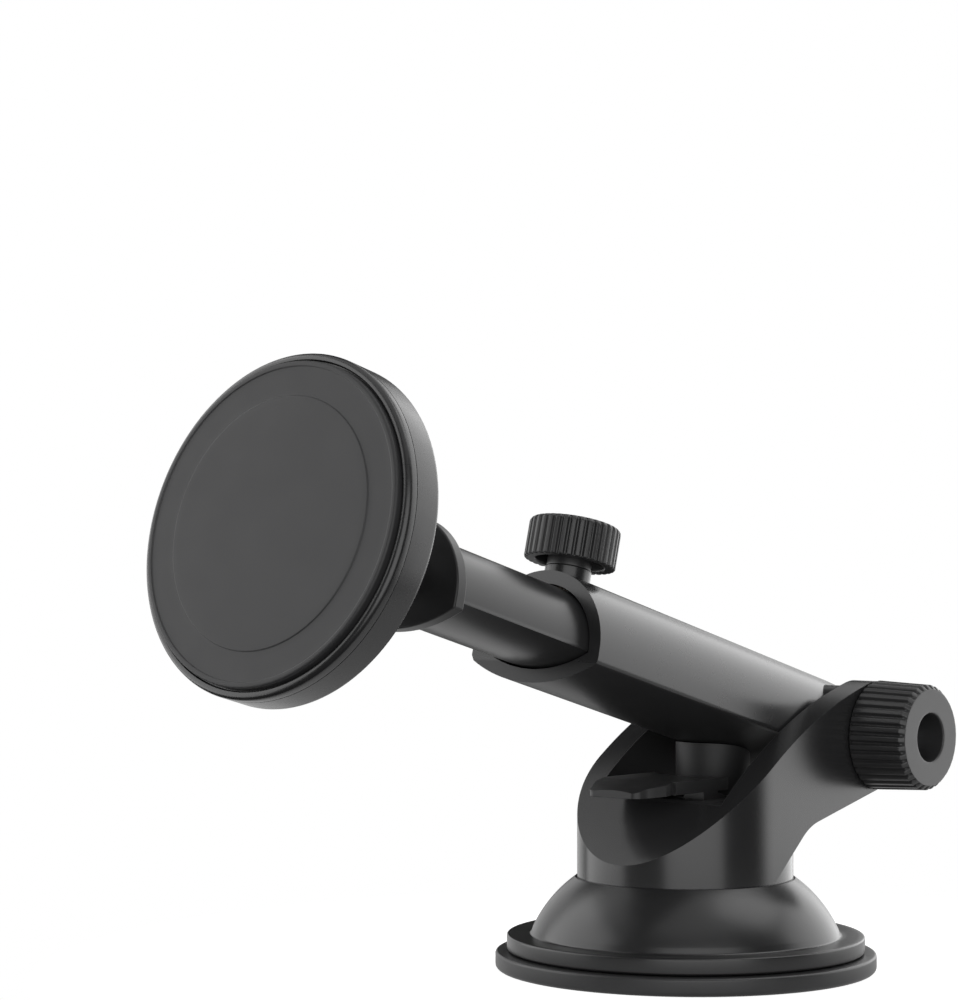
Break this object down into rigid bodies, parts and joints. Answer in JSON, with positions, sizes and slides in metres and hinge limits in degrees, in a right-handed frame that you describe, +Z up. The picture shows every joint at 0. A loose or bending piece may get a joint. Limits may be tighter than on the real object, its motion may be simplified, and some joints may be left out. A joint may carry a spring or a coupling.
{
  "type": "suction cup phone holder",
  "caption": "Locking suction base with a tilting telescopic arm, two knurled clamp knobs and a round magnetic phone head on a ball joint.",
  "frame": {"origin": "centre of the suction face, on the surface that the holder is stuck to", "axes": "+Z up from the surface, -Y the way the arm points, +X the side of the tilt knob"},
  "size_m": [0.0697, 0.1591, 0.1078],
  "materials": {
    "pad_rubber": "satin soft rubber",
    "shell_plastic": "satin moulded",
    "satin_plastic": "satin moulded",
    "knob_plastic": "fine matt moulded",
    "dark_plastic": "satin moulded",
    "head_plastic": "satin moulded",
    "face_silicone": "matt silicone",
    "zinc_steel": "zinc plated",
    "spring_steel": "drawn wire",
    "ball_steel": "polished",
    "magnet_nickel": "nickel plated",
    "insert_brass": "turned",
    "nylon": "natural nylon"
  },
  "bodies": {
    "base": {"suction_pad": "pad_rubber", "base_shell": "shell_plastic", "bracket": "satin_plastic", "bracket_screws": "zinc_steel", "stem_spring": "spring_steel", "spring_washer": "zinc_steel", "hinge_bolt": "zinc_steel", "tilt_washer": "zinc_steel"},
    "stem": {"stem_plate": "zinc_steel", "pull_stem": "zinc_steel"},
    "lever": {"lever": "satin_plastic", "lever_pin": "zinc_steel"},
    "tilt_knob": {"tilt_knob": "knob_plastic", "tilt_nut": "zinc_steel"},
    "outer_arm": {"hinge_barrel": "dark_plastic", "friction_discs": "nylon", "barrel_screws": "zinc_steel", "outer_tube": "satin_plastic", "clamp_insert": "insert_brass"},
    "clamp_knob": {"clamp_knob": "knob_plastic", "clamp_screw": "zinc_steel", "clamp_tip": "nylon"},
    "inner_arm": {"inner_tube": "satin_plastic", "rear_glide": "nylon", "end_collar": "satin_plastic", "ball_stud": "ball_steel", "stud_nut": "zinc_steel"},
    "rear_seat": {"rear_seat": "nylon"},
    "front_seat": {"front_seat": "nylon"},
    "head": {"head_shell": "head_plastic", "magnet_yoke": "zinc_steel", "magnets": "magnet_nickel", "front_cover": "head_plastic", "face_pad": "face_silicone", "head_screws": "zinc_steel"},
    "ring_nut": {"ring_nut": "knob_plastic"}
  },
  "joints": [
    {"name": "stem_slide", "type": "slide", "parent": "base", "child": "stem", "axis": [0, 0, 1], "range_m": [-0.0012, 0.0001], "deforming": ["stem_spring", "suction_pad"]},
    {"name": "lever_turn", "type": "hinge", "parent": "stem", "child": "lever", "pos_m": [0, 0, 0.0284], "axis": [-1, 0, 0], "range_deg": [0, 30]},
    {"name": "arm_tilt", "type": "hinge", "parent": "base", "child": "outer_arm", "pos_m": [0, 0.0338, 0.0418], "axis": [-1, 0, 0], "range_deg": [0, 165]},
    {"name": "tilt_turn", "type": "hinge", "parent": "base", "child": "tilt_knob", "pos_m": [0.026, 0.0338, 0.0418], "axis": [-1, 0, 0], "range_deg": [0, 360]},
    {"name": "clamp_turn", "type": "hinge", "parent": "outer_arm", "child": "clamp_knob", "pos_m": [0, -0.03739, 0.06087], "axis": [0, -0.2588, -0.9659], "range_deg": [0, 360]},
    {"name": "arm_slide", "type": "slide", "parent": "outer_arm", "child": "inner_arm", "axis": [0, -0.9659, 0.2588], "range_m": [-0.034, 0.015]},
    {"name": "head_tilt", "type": "hinge", "parent": "inner_arm", "child": "rear_seat", "pos_m": [0, -0.08931, 0.07613], "axis": [-1, 0, 0], "range_deg": [-20, 20]},
    {"name": "head_pan", "type": "hinge", "parent": "rear_seat", "child": "front_seat", "pos_m": [0, -0.08931, 0.07613], "axis": [0, 0.2588, 0.9659], "range_deg": [-20, 20]},
    {"name": "head_spin", "type": "hinge", "parent": "front_seat", "child": "head", "pos_m": [0, -0.08931, 0.07613], "axis": [0, -0.9659, 0.2588], "continuous": true},
    {"name": "ring_nut_turn", "type": "hinge", "parent": "head", "child": "ring_nut", "pos_m": [0, -0.08931, 0.07613], "axis": [0, -0.9659, 0.2588], "range_deg": [0, 90]}
  ],
  "couplings": [
    {"joint": "stem_slide", "follows": "lever_turn", "m_per_rad": -0.002}
  ]
}
